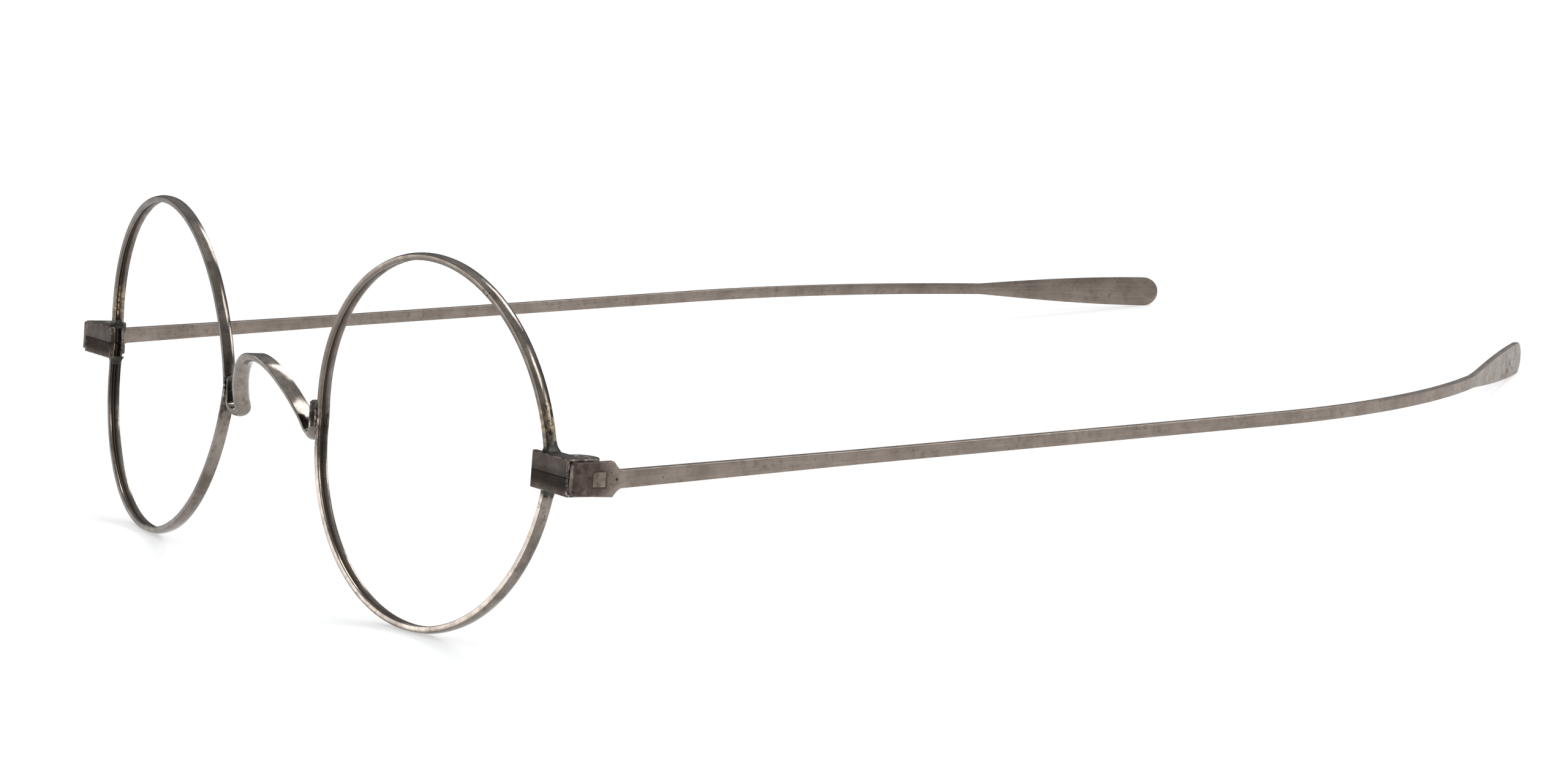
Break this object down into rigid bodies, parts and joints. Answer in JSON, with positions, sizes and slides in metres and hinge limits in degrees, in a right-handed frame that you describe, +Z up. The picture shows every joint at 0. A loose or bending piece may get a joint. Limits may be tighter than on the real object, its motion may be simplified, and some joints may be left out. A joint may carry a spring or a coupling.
{
  "type": "spectacle frame",
  "caption": "Round wire-rim spectacle frame without lenses: grooved eye wires, arched bridge, screwed end pieces and folding side arms with flat paddle ends.",
  "frame": {"origin": "on the surface that the frame stands on, under the middle of its bounding box", "axes": "+X to the wearer's left, +Y from the front to the ear ends, +Z up"},
  "size_m": [0.1136, 0.159, 0.0381],
  "materials": {
    "rim_wire": "worn bright steel with a warm brown tarnish, dark in the groove",
    "bridge_wire": "polished half-round steel wire, lightly pitted",
    "end_piece_steel": "dark brown oxidised steel with bright edges",
    "arm_steel": "brushed warm grey steel, lightly pitted",
    "screw_steel": "worn steel, dark in the slot",
    "knuckle_steel": "dull grey steel"
  },
  "bodies": {
    "front": {"left_rim": "rim_wire", "right_rim": "rim_wire", "bridge": "bridge_wire", "left_upper_end_piece": "end_piece_steel", "left_lower_end_piece": "end_piece_steel", "right_upper_end_piece": "end_piece_steel", "right_lower_end_piece": "end_piece_steel", "left_hinge_screw": "screw_steel", "right_hinge_screw": "screw_steel"},
    "left_arm": {"left_temple": "arm_steel", "left_temple_knuckle": "knuckle_steel"},
    "right_arm": {"right_temple": "arm_steel", "right_temple_knuckle": "knuckle_steel"}
  },
  "joints": [
    {"name": "left_hinge", "type": "hinge", "parent": "front", "child": "left_arm", "pos_m": [0.05211, -0.07014, 0.01841], "axis": [0, 0.1736, 0.9848], "range_deg": [0, 90]},
    {"name": "right_hinge", "type": "hinge", "parent": "front", "child": "right_arm", "pos_m": [-0.05211, -0.07014, 0.01841], "axis": [0, -0.1736, -0.9848], "range_deg": [0, 84]}
  ]
}
